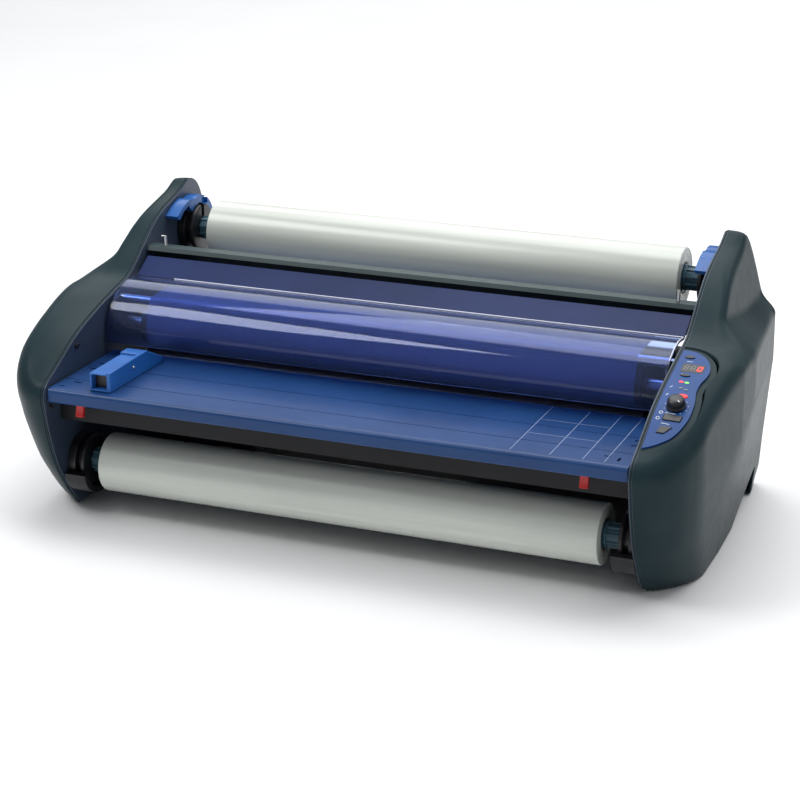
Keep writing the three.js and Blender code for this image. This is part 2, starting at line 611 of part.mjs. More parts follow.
for (const [level, axis] of [['upper', UPPER_SUPPLY], ['lower', LOWER_SUPPLY]]) {
  add(`${level}_film_roll`, filmRoll(axis), finish.film);
  add(`${level}_right_chuck`, chuck(axis), finish.tealGrey);
  add(`${level}_left_chuck`, mirrored(chuck(axis)), finish.tealGrey);
  add(`${level}_right_bracket`, bracket(axis), finish.blackPlastic);
  add(`${level}_left_bracket`, mirrored(bracket(axis)), finish.blackPlastic);
}
add('upper_right_cap', bracketCap(UPPER_SUPPLY, 1), finish.brightBlue);
add('upper_left_cap', mirrored(bracketCap(UPPER_SUPPLY, 1)), finish.brightBlue);

// ---- nip shield, feed table, guide and levers ----
const SHIELD_THICK = 3;
const shieldFront = smooth([[3, 277], [-22, 279], [-45, 274], [-65, 264], [-79, 251], [-87, 235], [-89,
  221],
  [-88, 207]], 16);

function shieldShape() {
  const outer = [[36, 297], ...shieldFront];
  const inner = outer.map(([y, z], i) => {
    const before = outer[Math.max(i - 1, 0)];
    const after = outer[Math.min(i + 1, outer.length - 1)];
    const [dy, dz] = [after[0] - before[0], after[1] - before[1]];
    const length = Math.hypot(dy, dz);
    return [y - dz * SHIELD_THICK / length, z + dy * SHIELD_THICK / length];
  });
  return alongX([...outer, ...inner.reverse()], -388, 388);
}

add('nip_shield', shieldShape(), finish.clearBlue);

function tableShape() {
  const section = new THREE.Shape();
  section.moveTo(TABLE_FRONT + 12, TABLE_TOP);
  section.quadraticCurveTo(TABLE_FRONT, TABLE_TOP, TABLE_FRONT, TABLE_TOP - 11);
  section.lineTo(TABLE_FRONT + 1, TABLE_TOP - 19);
  section.lineTo(TABLE_FRONT + 4, TABLE_TOP - 19);
  section.lineTo(TABLE_FRONT + 4, TABLE_TOP - 6);
  section.lineTo(-72, TABLE_TOP - 6);
  section.lineTo(-72, TABLE_TOP - 14);
  section.lineTo(-68, TABLE_TOP - 14);
  section.lineTo(-66, TABLE_TOP);
  return alongX(section, -TABLE_HALF, TABLE_HALF);
}

add('feed_table', tableShape(), finish.blue);

const GUIDE_X = -320;
function guideShape() {
  const profile = [[-233, 215.5], [-230, 218], [-131, 218], [-92, 196], [-88, 190.4], [-233, 190.4]];
  const body = alongX(profile, GUIDE_X - 8, GUIDE_X + 16);
  const flange = box(GUIDE_X - 14, GUIDE_X - 4, -228, -92, 190.4, 196);
  const hollow = box(GUIDE_X - 4, GUIDE_X + 13, -240, -214, 184, 213);
  return cut(join(body, flange), hollow);
}

add('edge_guide', guideShape(), finish.blue);

const LEVER = { y: -228, z: 177, x: 332 };
function leverShape() {
  const pivot = rodX({ y: 0, z: 0 }, 3, -7, 7, 16);
  const finger = alongX([[-2.5, 1], [2.5, 1], [2.5, -12], [0, -24], [-3, -27], [-6, -25], [-4, -12]], -5,
    5);
  return geometryOf(join(pivot, finger)).translate(0, LEVER.y, LEVER.z);
}

add('right_latch_lever', leverShape().translate(LEVER.x, 0, 0), finish.red);
add('left_latch_lever', leverShape().translate(-LEVER.x - 20, 0, 0), finish.red);

// ---- electrical parts ----
add('control_board', box(404, 407, -150, -70, 150, 215), finish.board);
add('power_supply', box(-380, -240, 60, 200, 13, 75), finish.steel);
add('power_inlet', box(-349.7, -322.3, 215, 241, 40.3, 61.7), finish.blackPlastic);
add('power_switch', alongX([[232, 75.5], [240, 75.5], [243, 85], [240, 94.5], [232, 94.5]], -349.6, -336.4),
  finish.blackPlastic);

export default laminator;
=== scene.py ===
"""Looks of the roll laminator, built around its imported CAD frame. Metres, +Z up, front is -Y."""
import math

import bmesh
import bpy
import numpy as np
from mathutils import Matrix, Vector


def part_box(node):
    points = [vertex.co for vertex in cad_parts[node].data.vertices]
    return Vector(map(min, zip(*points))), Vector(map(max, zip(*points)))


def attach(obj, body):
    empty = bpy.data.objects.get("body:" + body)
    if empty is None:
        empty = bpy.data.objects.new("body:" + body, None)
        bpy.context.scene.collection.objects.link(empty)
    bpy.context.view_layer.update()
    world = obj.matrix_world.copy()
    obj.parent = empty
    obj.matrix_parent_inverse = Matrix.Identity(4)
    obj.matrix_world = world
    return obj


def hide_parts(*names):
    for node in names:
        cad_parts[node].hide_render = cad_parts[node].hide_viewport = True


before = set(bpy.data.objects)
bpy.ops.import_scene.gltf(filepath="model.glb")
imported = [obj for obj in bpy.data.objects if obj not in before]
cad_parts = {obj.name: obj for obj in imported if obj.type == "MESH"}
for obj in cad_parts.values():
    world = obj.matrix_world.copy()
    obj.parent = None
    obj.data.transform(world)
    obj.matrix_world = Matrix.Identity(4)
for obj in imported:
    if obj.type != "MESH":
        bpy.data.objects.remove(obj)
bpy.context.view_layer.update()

MM = 0.001


# ---- camera, floor and light ----
def add_camera():
    """The photograph's view: 22 degrees to the right, 19 degrees up, through a long lens."""
    place = Vector((1.0544, -2.6308, 1.1250))
    back = Vector((0.3512, -0.8775, 0.3266))
    data = bpy.data.cameras.new("camera")
    data.lens = 101.0
    data.sensor_width = 36.0
    data.shift_x = 0.002
    camera = bpy.data.objects.new("camera", data)
    bpy.context.collection.objects.link(camera)
    camera.location = place
    camera.rotation_euler = back.to_track_quat("Z", "Y").to_euler()
    bpy.context.scene.camera = camera


def add_area_light(name, place, target, size, power, colour=(1, 1, 1)):
    data = bpy.data.lights.new(name, "AREA")
    data.shape = "RECTANGLE"
    data.size, data.size_y = size
    data.energy = power
    data.color = colour
    light = bpy.data.objects.new(name, data)
    bpy.context.collection.objects.link(light)
    light.location = place
    light.rotation_euler = (Vector(place) - Vector(target)).to_track_quat("Z", "Y").to_euler()
    return light


def add_studio():
    floor = new_mesh_object("floor", [(-9, -9, 0), (9, -9, 0), (9, 11, 0), (-9, 11, 0)], [(0, 1, 2, 3)])
    floor.data.materials.append(plain_floor())
    add_area_light("key", (-1.6, -1.2, 2.8), (0, 0, 0.2), (1.5, 1.0), 40)
    add_area_light("top", (0.2, 0.5, 3.0), (0, 0, 0.2), (3.4, 1.6), 65)
    add_area_light("right_fill", (2.8, -0.2, 1.6), (0.3, 0, 0.15), (0.9, 1.4), 5)
    add_area_light("background", (0, 4.6, 4.2), (0, 4.6, 0), (9.0, 4.0), 225)
    world = bpy.data.worlds.new("studio")
    world.use_nodes = True
    background = world.node_tree.nodes["Background"]
    background.inputs["Color"].default_value = (0.95, 0.97, 1.0, 1)
    background.inputs["Strength"].default_value = 0.34
    bpy.context.scene.world = world
    bpy.context.scene.view_settings.view_transform = "Standard"


# ---- mesh helpers ----
def new_mesh_object(name, points, faces, smooth=False):
    mesh = bpy.data.meshes.new(name)
    mesh.from_pydata([tuple(p) for p in points], [], [tuple(f) for f in faces])
    mesh.validate()
    mesh.update()
    if smooth:
        mesh.shade_smooth()
    piece = bpy.data.objects.new(name, mesh)
    bpy.context.collection.objects.link(piece)
    return piece


def finish_normals(piece, angle=35):
    """Faces point out, and edges sharper than the angle stay sharp."""
    build = bmesh.new()
    build.from_mesh(piece.data)
    bmesh.ops.recalc_face_normals(build, faces=build.faces)
    build.to_mesh(piece.data)
    build.free()
    piece.data.shade_smooth()
    piece.data.set_sharp_from_angle(angle=math.radians(angle))


def apply_modifiers(piece):
    graph = bpy.context.evaluated_depsgraph_get()
    mesh = bpy.data.meshes.new_from_object(piece.evaluated_get(graph))
    piece.modifiers.clear()
    old = piece.data
    piece.data = mesh
    bpy.data.meshes.remove(old)


def bevel(piece, width, segments=2, angle=35):
    modifier = piece.modifiers.new("bevel", "BEVEL")
    modifier.width = width
    modifier.segments = segments
    modifier.limit_method = "ANGLE"
    modifier.angle_limit = math.radians(angle)
    apply_modifiers(piece)
    return piece


def catmull(points, count):
    """A smooth curve through the points, as an array of count points."""
    p = np.asarray(points, float)
    p = np.vstack([2 * p[0] - p[1], p, 2 * p[-1] - p[-2]])
    spans = len(p) - 3
    out = []
    for t in np.linspace(0, spans, count):
        i = min(int(t), spans - 1)
        u = t - i
        a, b, c, d = p[i], p[i + 1], p[i + 2], p[i + 3]
        out.append(0.5 * (2 * b + (c - a) * u + (2 * a - 5 * b + 4 * c - d) * u ** 2
                          + (3 * b - a - 3 * c + d) * u ** 3))
    return np.array(out)


def by_length(points, count):
    """The same polyline, resampled evenly along its length."""
    steps = np.linalg.norm(np.diff(points, axis=0), axis=1)
    run = np.concatenate([[0], np.cumsum(steps)])
    at = np.linspace(0, run[-1], count)
    return np.stack([np.interp(at, run, points[:, k]) for k in range(points.shape[1])], axis=1)


# ---- materials ----
def node_material(name, colour, roughness, metallic=0.0, **shader):
    material = bpy.data.materials.new(name)
    material.use_nodes = True
    principled = material.node_tree.nodes["Principled BSDF"]
    principled.inputs["Base Color"].default_value = (*colour, 1)
    principled.inputs["Roughness"].default_value = roughness
    principled.inputs["Metallic"].default_value = metallic
    for key, value in shader.items():
        principled.inputs[key.replace("_", " ")].default_value = value
    return material, material.node_tree.nodes, material.node_tree.links, principled


def noise(nodes, links, scale, detail=2.0, stretch=(1, 1, 1)):
    place = nodes.new("ShaderNodeTexCoord")
    mapping = nodes.new("ShaderNodeMapping")
    mapping.inputs["Scale"].default_value = stretch
    texture = nodes.new("ShaderNodeTexNoise")
    texture.inputs["Scale"].default_value = scale
    texture.inputs["Detail"].default_value = detail
    links.new(place.outputs["Object"], mapping.inputs["Vector"])
    links.new(mapping.outputs["Vector"], texture.inputs["Vector"])
    return texture.outputs["Fac"]


def colour_between(nodes, links, factor, dark, light, low=0.35, high=0.65):
    ramp = nodes.new("ShaderNodeValToRGB")
    ramp.color_ramp.elements[0].position = low
    ramp.color_ramp.elements[0].color = (*dark, 1)
    ramp.color_ramp.elements[1].position = high
    ramp.color_ramp.elements[1].color = (*light, 1)
    links.new(factor, ramp.inputs["Fac"])
    return ramp.outputs["Color"]


def value_between(nodes, links, factor, low, high):
    mapping = nodes.new("ShaderNodeMapRange")
    mapping.inputs["To Min"].default_value = low
    mapping.inputs["To Max"].default_value = high
    links.new(factor, mapping.inputs["Value"])
    return mapping.outputs["Result"]


def add_bump(nodes, links, principled, height, strength, distance=0.0002):
    bump = nodes.new("ShaderNodeBump")
    bump.inputs["Strength"].default_value = strength
    bump.inputs["Distance"].default_value = distance
    links.new(height, bump.inputs["Height"])
    links.new(bump.outputs["Normal"], principled.inputs["Normal"])


def plain_floor():
    material, nodes, links, principled = node_material("floor", (0.9, 0.9, 0.9), 0.6)
    spots = noise(nodes, links, 3.0)
    links.new(colour_between(nodes, links, spots, (0.93, 0.935, 0.94), (0.95, 0.953, 0.956)),
              principled.inputs["Base Color"])
    return material


def moulded(name, dark, light, roughness, grain=1400, bump=0.12, patch=9.0, **shader):
    """Moulded plastic: slow colour drift, a fine spark-eroded grain and uneven gloss."""
    material, nodes, links, principled = node_material(name, light, roughness, **shader)
    drift = noise(nodes, links, patch, 3.0)
    links.new(colour_between(nodes, links, drift, dark, light), principled.inputs["Base Color"])
    scuff = noise(nodes, links, 60.0, 4.0)
    links.new(value_between(nodes, links, scuff, roughness - 0.05, roughness + 0.07),
              principled.inputs["Roughness"])
    add_bump(nodes, links, principled, noise(nodes, links, grain, 2.0), bump)
    return material


def glowing(name, colour, strength):
    material, nodes, links, principled = node_material(name, colour, 0.4)
    patch = noise(nodes, links, 300.0)
    links.new(value_between(nodes, links, patch, strength * 0.85, strength * 1.15),
              principled.inputs["Emission Strength"])
    principled.inputs["Emission Color"].default_value = (*colour, 1)
    return material


def wound_film():
    """Clear film wound on a roll: pale, glossy, with faint bands along the roll's length."""
    material, nodes, links, principled = node_material("wound_film", (0.5, 0.54, 0.5), 0.24)
    bands = noise(nodes, links, 30.0, 3.0, (0.05, 1.0, 1.0))
    links.new(colour_between(nodes, links, bands, (0.50, 0.53, 0.49), (0.74, 0.77, 0.71), 0.3, 0.7),
              principled.inputs["Base Color"])
    links.new(value_between(nodes, links, bands, 0.16, 0.34), principled.inputs["Roughness"])
    add_bump(nodes, links, principled, noise(nodes, links, 90.0, 2.0, (0.03, 1.0, 1.0)), 0.15, 0.0004)
    return material


def clear_sheet(name, tint, roughness, transmission, dust=0.04):
    """Transparent plastic with a tint and a little uneven haze."""
    material, nodes, links, principled = node_material(
        name, tint, roughness, Transmission_Weight=transmission, IOR=1.35)
    haze = noise(nodes, links, 14.0, 3.0, (0.3, 1.0, 1.0))
    links.new(value_between(nodes, links, haze, roughness, roughness + dust), principled.inputs["Roughness"])
    links.new(colour_between(nodes, links, haze, tuple(0.92 * c for c in tint), tint),
              principled.inputs["Base Color"])
    return material


def turned_metal(name, colour, roughness, stretch=(1, 1, 1)):
    material, nodes, links, principled = node_material(name, colour, roughness, 1.0)
    lines = noise(nodes, links, 260.0, 3.0, stretch)
    links.new(colour_between(nodes, links, lines, tuple(0.8 * c for c in colour), colour),
              principled.inputs["Base Color"])
    links.new(value_between(nodes, links, lines, roughness - 0.06, roughness + 0.1),
              principled.inputs["Roughness"])
    return material


COVER_PLASTIC = moulded("cover_plastic", (0.012, 0.027, 0.033), (0.017, 0.036, 0.043), 0.36, 1400, 0.08,
                        Specular_IOR_Level=0.1)
INNER_WALL = moulded("inner_wall", (0.028, 0.043, 0.074), (0.041, 0.060, 0.100), 0.4)
BLACK_PLASTIC = moulded("black_plastic", (0.006, 0.006, 0.009), (0.011, 0.011, 0.015), 0.34)
NAVY_PLASTIC = moulded("navy_plastic", (0.006, 0.017, 0.080), (0.009, 0.024, 0.105), 0.42, 1400, 0.04,
                       Specular_IOR_Level=0.2)
TABLE_BLUE = moulded("table_blue", (0.010, 0.044, 0.150), (0.013, 0.055, 0.180), 0.34, 1400, 0.04,
                     Specular_IOR_Level=0.3)
GUIDE_BLUE = moulded("guide_blue", (0.017, 0.115, 0.40), (0.024, 0.14, 0.47), 0.34, 1400, 0.06,
                     Specular_IOR_Level=0.35)
CAP_BLUE = moulded("cap_blue", (0.010, 0.086, 0.31), (0.014, 0.106, 0.37), 0.28, 1400, 0.06,
                   Specular_IOR_Level=0.4)
PANEL_BLUE = moulded("panel_blue", (0.010, 0.056, 0.21), (0.013, 0.068, 0.25), 0.42, 900, 0.03,
                     Specular_IOR_Level=0.25)
CHUCK_TEAL = moulded("chuck_teal", (0.036, 0.094, 0.130), (0.052, 0.125, 0.170), 0.4)
DECK_PAINT = moulded("deck_paint", (0.026, 0.046, 0.050), (0.038, 0.062, 0.066), 0.32)
STEEL_PAINT = moulded("steel_paint", (0.004, 0.004, 0.006), (0.007, 0.007, 0.010), 0.5, 700, 0.1,
                      Specular_IOR_Level=0.3)
RUBBER = moulded("rubber", (0.010, 0.010, 0.012), (0.018, 0.018, 0.021), 0.6, 500, 0.25)
SLEEVE = moulded("roller_sleeve", (0.010, 0.009, 0.012), (0.018, 0.015, 0.019), 0.42, 800, 0.1)
LEVER_RED = moulded("lever_red", (0.36, 0.008, 0.008), (0.50, 0.014, 0.012), 0.25, 900, 0.05)
CORE_CARD = moulded("core_card", (0.20, 0.15, 0.09), (0.30, 0.23, 0.14), 0.7, 300, 0.3)
WHITE_PRINT = moulded("white_print", (0.55, 0.60, 0.70), (0.70, 0.75, 0.85), 0.5, 900, 0.05)
LINE_PRINT = moulded("line_print", (0.20, 0.26, 0.42), (0.28, 0.34, 0.52), 0.5, 900, 0.05)
DISPLAY_DARK = moulded("display_dark", (0.004, 0.004, 0.005), (0.008, 0.007, 0.009), 0.15, 900, 0.02)
UNLIT = moulded("unlit_segment", (0.16, 0.17, 0.18), (0.22, 0.23, 0.24), 0.4, 900, 0.02)
# Painted highlight: a pale colour for the light line along the shield's bend.
PAINTED_HIGHLIGHT = moulded("painted_highlight", (0.70, 0.72, 0.86), (0.82, 0.84, 0.95), 0.25, 600, 0.05)
STEEL = turned_metal("ground_steel", (0.55, 0.56, 0.57), 0.28, (0.05, 1, 1))
BRASS = turned_metal("brass", (0.52, 0.36, 0.13), 0.3)
WOUND_FILM = wound_film()
SHIELD_CLEAR = clear_sheet("shield_clear", (0.37, 0.50, 0.95), 0.03, 0.97)
FILM_WEB = clear_sheet("film_web", (0.42, 0.52, 0.80), 0.2, 0.72, 0.1)
RED_LIT = glowing("red_lit", (1.0, 0.03, 0.03), 2.6)
RED_SOFT = glowing("red_soft", (0.75, 0.02, 0.02), 0.7)
GREEN_LIT = glowing("green_lit", (0.25, 1.0, 0.12), 0.9)

# ---- outline of the covers, seen from the side: [y, z] in millimetres ----
TABLE_TOP = 190
COVER_RIM = 397
SIDE_REAR = 55
SIDE_TAPER = 0.112
PANEL_REAR = 246
FIN_WIDTH = 24
COVER_BASE = 2
NOSE = (-254, 178)
PEAK = (176, 375)
FRONT_EDGE = [(-168, 2), (-190, 25), (-208, 50), (-226, 80), (-243, 128), (-250, 160), NOSE]
TOP_EDGE = [NOSE, (-245, 194), (-218, 208), (-163, 237), (-108, 256), (-51, 271), (-12, 281), (10, 294),
            (39, 316), (70, 337), (101, 350), (148, 363), PEAK]
REAR_EDGE = [PEAK, (196, 369), (213, 347), (228, 300), (242, 240), (250, 120), (254, 2)]
SPINE_Z = 150
SPINE_FRONT = -165
SPINE_REAR = 212

front_curve = catmull(FRONT_EDGE, 200)
top_curve = catmull(TOP_EDGE, 600)
rear_curve = catmull(REAR_EDGE, 300)
for curve in (front_curve, top_curve, rear_curve):
    curve[:, 0] = np.clip(curve[:, 0], -253.8, 253.8)


def top_height(y):
    return np.interp(y, top_curve[:, 0], top_curve[:, 1])


def front_at(z):
    """y of the outline's front at a height: up the front edge, then along the top edge."""
    low = np.interp(z, front_curve[:, 1], front_curve[:, 0])
    high = np.interp(z, top_curve[:, 1], top_curve[:, 0])
    return np.where(z <= NOSE[1], low, high)


def rear_at(z):
    return np.interp(z, rear_curve[::-1, 1], rear_curve[::-1, 0])


def clamp01(t):
    return np.clip(t, 0, 1)


def ease(t):
    return clamp01(t) ** 2 * (3 - 2 * clamp01(t))


def round_edge(distance, radius):
    """0 at the outline, rising to 1 over a quarter circle."""
    return np.sqrt(1 - (1 - clamp01(distance / radius)) ** 2)


def side_reach(y, z):
    """Rim plane to the side panel, which tapers to the back and drafts to the ground."""
    low = clamp01((TABLE_TOP - z) / TABLE_TOP)
    return SIDE_REAR - 15.5 * low + (SIDE_TAPER - 0.05 * low) * (PANEL_REAR - y)


def bulge_reach(y, z):
    """Rim plane to the rounded front bulge, which fills out to the back."""
    foot = clamp01((168 - z) / 168)
    front = np.where(z <= NOSE[1], front_at(z), NOSE[0])
    inward = 1 - clamp01((y - front) / (80 + 25 * foot))
    corner = (1 - inward ** (2 + 0.5 * foot)) ** (0.5 + 0.35 * foot)
    belly = 1 - ease(foot) ** 0.8
    growth = np.maximum(y - front - 50, 0) * 0.085 * belly
    return (55 + 11 * belly + np.minimum(growth, 14)) * corner


def fin_reach(y, z, wide):
    """Above its shoulder the cover narrows, in an S-shaped curve, to the raised fin."""
    back = ease((y - 20) / 130)
    flare_top = 302 - 17 * back
    span = 48 - 18 * back
    fin = FIN_WIDTH + 15 * clamp01((362 - z) / 80)
    full = ease((flare_top - z) / span)
    narrow = fin + (wide - fin) * full
    return wide + (np.minimum(narrow, wide) - wide) * ease((y + 80) / 90)


def soft_min(a, b, blend):
    h = clamp01(0.5 + 0.5 * (b - a) / blend)
    return b + (a - b) * h - blend * h * (1 - h)


def skin_width(y, z):
    crease = 1.2 + 14 * clamp01((205 - z) / 130)
    wide = soft_min(side_reach(y, z), bulge_reach(y, z), crease)
    wide = np.maximum(fin_reach(y, z, wide), 0)
    radius = 22 - 9 * ease((y + 25) / 60)
    flat = np.maximum(wide - radius, 0.3 * wide)
    drop = top_height(np.minimum(y, PEAK[0])) - z
    top = flat + (wide - flat) * round_edge(drop, radius)
    return top * round_edge(rear_at(z) - y, 14 - 8 * ease((90 - z) / 90))


def crown(width, y, z):
    """How far the front's top surface swells above its rim."""
    swell = 7 * ease((y + 250) / 45) * ease((-20 - y) / 70)
    return swell * np.sin(np.pi * clamp01(width / 78)) * (1 - ease((top_height(y) - z) / 40))


def cover_spokes():
    """Closed outline of a cover: up the front, over the top, down the rear, back along the bottom."""
    upper = np.vstack([by_length(front_curve, 46), by_length(top_curve, 110)[1:],
                       by_length(rear_curve, 80)[1:]])
    inside = (upper[:, 0] > SPINE_FRONT) & (upper[:, 0] < SPINE_REAR)
    inside[:46] = False
    lower = np.stack([upper[inside, 0][::-1], np.full(inside.sum(), COVER_BASE)], axis=1)
    return np.vstack([upper, lower])


def cover_skin(side):
    """The outer skin as rings that close in on a spine line, evenly spaced along the surface."""
    outline = cover_spokes()
    rings = 44
    columns = []
    for y, z in outline:
        spine = np.array([np.clip(y, SPINE_FRONT, SPINE_REAR), SPINE_Z])
        share = np.linspace(0, 1, 260)[:, None] ** 1.6
        flat = np.array([y, z]) + (spine - np.array([y, z])) * share
        width = skin_width(flat[:, 0], flat[:, 1])
        ledge = np.linspace(0, width[0], 30, endpoint=False)
        width = np.concatenate([ledge, width])
        flat = np.vstack([np.tile(flat[0], (30, 1)), flat])
        flat[:, 1] += crown(width, flat[:, 0], flat[:, 1])
        curve = np.column_stack([COVER_RIM + width, flat])
        columns.append(by_length(curve, rings))
    grid = np.array(columns)
    grid[:, :, 0] *= side
    return grid * MM


def grid_faces(rows, columns, closed):
    faces = []
    for i in range(rows if closed else rows - 1):
        j = (i + 1) % rows
        for k in range(columns - 1):
            faces.append((i * columns + k, j * columns + k, j * columns + k + 1, i * columns + k + 1))
    return faces



# ---- solids ----
def clean(piece):
    """One closed body: near-equal points merged, faces turned outwards."""
    build = bmesh.new()
    build.from_mesh(piece.data)
    bmesh.ops.remove_doubles(build, verts=build.verts, dist=0.00001)
    bmesh.ops.recalc_face_normals(build, faces=build.faces)
    build.to_mesh(piece.data)
    build.free()
    return piece


def prism(name, outline, x0, x1):
    """A closed [y, z] outline drawn out along X, in millimetres."""
    outline = np.asarray(outline, float)
    count = len(outline)
    ends = [np.column_stack([np.full(count, x), outline]) for x in (x0, x1)]
    faces = [(i, (i + 1) % count, count + (i + 1) % count, count + i) for i in range(count)]
    faces += [tuple(range(count))[::-1], tuple(range(count, 2 * count))]
    return clean(new_mesh_object(name, np.vstack(ends) * MM, faces))


def upright(name, outline, low, high):
    """A closed [x, y] outline drawn out along Z."""
    outline = np.asarray(outline, float)
    count = len(outline)
    ends = [np.column_stack([outline, np.full(count, z)]) for z in (low, high)]
    faces = [(i, (i + 1) % count, count + (i + 1) % count, count + i) for i in range(count)]
    faces += [tuple(range(count))[::-1], tuple(range(count, 2 * count))]
    return clean(new_mesh_object(name, np.vstack(ends) * MM, faces))


def block(name, x0, x1, y0, y1, z0, z1):
    return upright(name, [(x0, y0), (x1, y0), (x1, y1), (x0, y1)], z0, z1)


def turned(name, profile, axis, segments=64, ring=False):
    """A [radius, x] profile turned about an axis along X through (y, z). A ring's profile is closed."""
    profile = np.asarray(profile, float)
    angles = np.linspace(0, 2 * math.pi, segments, endpoint=False)
    points = np.array([[(x, axis[0] + r * math.cos(a), axis[1] + r * math.sin(a)) for r, x in profile]
                       for a in angles])
    faces = grid_faces(segments, len(profile), True)
    if ring:
        last = len(profile) - 1
        faces += [(i * (last + 1) + last, (i + 1) % segments * (last + 1) + last,
                   (i + 1) % segments * (last + 1), i * (last + 1)) for i in range(segments)]
    return clean(new_mesh_object(name, points.reshape(-1, 3) * MM, faces))


def swept(name, path, radius, sides=8):
    """A round bar along a path of points in millimetres, with flat ends."""
    path = np.asarray(path, float)
    along = np.gradient(path, axis=0)
    along /= np.linalg.norm(along, axis=1)[:, None]
    aside = np.cross(along, [1.0, 0.0, 0.0])
    flat = np.linalg.norm(aside, axis=1) < 0.2
    aside[flat] = np.cross(along[flat], [0.0, 0.0, 1.0])
    aside /= np.linalg.norm(aside, axis=1)[:, None]
    up = np.cross(aside, along)
    angles = np.linspace(0, 2 * math.pi, sides, endpoint=False)
    rings = np.array([p + radius * (np.cos(angles)[:, None] * a + np.sin(angles)[:, None] * b)
                      for p, a, b in zip(path, aside, up)])
    count = len(path)
    faces = []
    for i in range(count - 1):
        here, there = i * sides, (i + 1) * sides
        faces += [(here + k, here + (k + 1) % sides, there + (k + 1) % sides, there + k) for k in range(sides)]
    faces += [tuple(range(sides)), tuple((count - 1) * sides + k for k in range(sides))]
    return clean(new_mesh_object(name, rings.reshape(-1, 3) * MM, faces))


def sheet_strip(name, line, thick, x0, x1):
    """A sheet along X whose section follows an open [y, z] line; the line is its middle."""
    line = np.asarray(line, float)
    along = np.gradient(line, axis=0)
    along /= np.linalg.norm(along, axis=1)[:, None]
    normal = np.column_stack([-along[:, 1], along[:, 0]])
    loop = np.vstack([line + normal * thick / 2, (line - normal * thick / 2)[::-1]])
    return prism(name, loop, x0, x1)


def joined(name, pieces):
    """Several pieces of one colour as a single object."""
    build = bmesh.new()
    for piece in pieces:
        build.from_mesh(piece.data)
    mesh = bpy.data.meshes.new(name)
    build.to_mesh(mesh)
    build.free()
    for piece in pieces:
        bpy.data.meshes.remove(piece.data)
    whole = bpy.data.objects.new(name, mesh)
    bpy.context.collection.objects.link(whole)
    return whole


def carve(piece, cutter, operation="DIFFERENCE"):
    modifier = piece.modifiers.new("carve", "BOOLEAN")
    modifier.operation = operation
    modifier.solver = "EXACT"
    modifier.object = cutter
    apply_modifiers(piece)
    bpy.data.meshes.remove(cutter.data)
    return piece


def settle(piece, body, slot_name, material, *nodes, angle=35):
    """Gives a finished piece its material and its body, and hides the CAD nodes it stands for; the slot name is
    not used.
    """
    finish_normals(piece, angle)
    flatten = piece.modifiers.new("flatten", "WEIGHTED_NORMAL")
    flatten.keep_sharp = True
    apply_modifiers(piece)
    piece.data.materials.clear()
    piece.data.materials.append(material)
    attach(piece, body)
    if nodes:
        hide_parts(*nodes)
    return piece


def arc(centre, radius, start, end, count):
    angles = np.radians(np.linspace(start, end, count))
    return np.column_stack([centre[0] + radius * np.cos(angles), centre[1] + radius * np.sin(angles)])


# ---- side covers ----
PANEL_EDGE = catmull([(398, -38.5), (408, -39.5), (420, -43.5), (434, -57), (441.5, -75), (442, -91),
                      (438, -108), (437.5, -125), (440.6, -141), (442, -158), (441, -173), (436, -189),
                      (428, -202), (418, -210), (408, -216), (398, -220)], 300)
PANEL_RISE = 0.8


def beyond_panel(offset):
    """The panel's outer edge moved outwards, as x over y."""
    along = np.gradient(PANEL_EDGE, axis=0)
    along /= np.linalg.norm(along, axis=1)[:, None]
    edge = PANEL_EDGE + offset * np.column_stack([-along[:, 1], along[:, 0]])
    return edge[np.argsort(edge[:, 1])]


def slab(name, offset, x_in, rise, depth, flare=0.0, rows=110, columns=16):
    """A plate that follows the covers' top edge, bounded by the panel's outer edge plus an offset."""
    levels = []
    for grow, height in ((offset + flare, rise), (offset, -depth)):
        edge = beyond_panel(grow)
        share = (1 - np.cos(np.linspace(0, math.pi, rows))) / 2
        ys = edge[0, 1] + (edge[-1, 1] - edge[0, 1]) * share
        outer = np.maximum(np.interp(ys, edge[:, 1], edge[:, 0]), x_in + 0.3)
        across = np.linspace(0, 1, columns)
        xs = x_in + (outer - x_in)[:, None] * across
        zs = np.repeat((top_height(ys) + height)[:, None], columns, axis=1)
        levels.append(np.stack([xs, np.repeat(ys[:, None], columns, axis=1), zs], axis=2).reshape(-1, 3))
    size = rows * columns
    top = grid_faces(rows, columns, False)
    faces = top + [tuple(size + k for k in face[::-1]) for face in top]
    rim = [i * columns for i in range(rows)] + [(rows - 1) * columns + k for k in range(1, columns)]
    rim += [i * columns + columns - 1 for i in range(rows - 2, -1, -1)] + list(range(columns - 2, 0, -1))
    faces += [(a, b, b + size, a + size) for a, b in zip(rim, rim[1:] + rim[:1])]
    return clean(new_mesh_object(name, np.vstack(levels) * MM, faces))


def outline_inset(inset, low):
    """The covers' outline from the front foot round to the rear foot, moved inwards."""
    line = by_length(np.vstack([front_curve, top_curve[1:], rear_curve[1:]]), 260)
    along = np.gradient(line, axis=0)
    along /= np.linalg.norm(along, axis=1)[:, None]
    line = line + inset * np.column_stack([along[:, 1], -along[:, 0]])
    return line[line[:, 1] > low]


def build_cover(name, side):
    grid = cover_skin(side)
    rows, columns = grid.shape[:2]
    piece = clean(new_mesh_object(name, grid.reshape(-1, 3), grid_faces(rows, columns, True)))
    wall = piece.modifiers.new("wall", "SOLIDIFY")
    wall.thickness = 3 * MM
    wall.offset = -1
    apply_modifiers(piece)
    hand_hold = [(205, 34), (203.5, 40), (198, 43), (185, 42), (168, 39), (146, 33), (120, 24), (97, 16),
                 (80, 10), (64, 3), (50, -5)]
    arch = np.vstack([[(196, -5)], catmull(hand_hold, 60)])
    carve(piece, prism("arch", arch, *sorted((side * 404, side * 490))))
    if side > 0:
        carve(piece, slab("moat", 8.0, 396.0, 16, 2.4, 8))
    return settle(piece, "root", "cover", COVER_PLASTIC, name, angle=32)


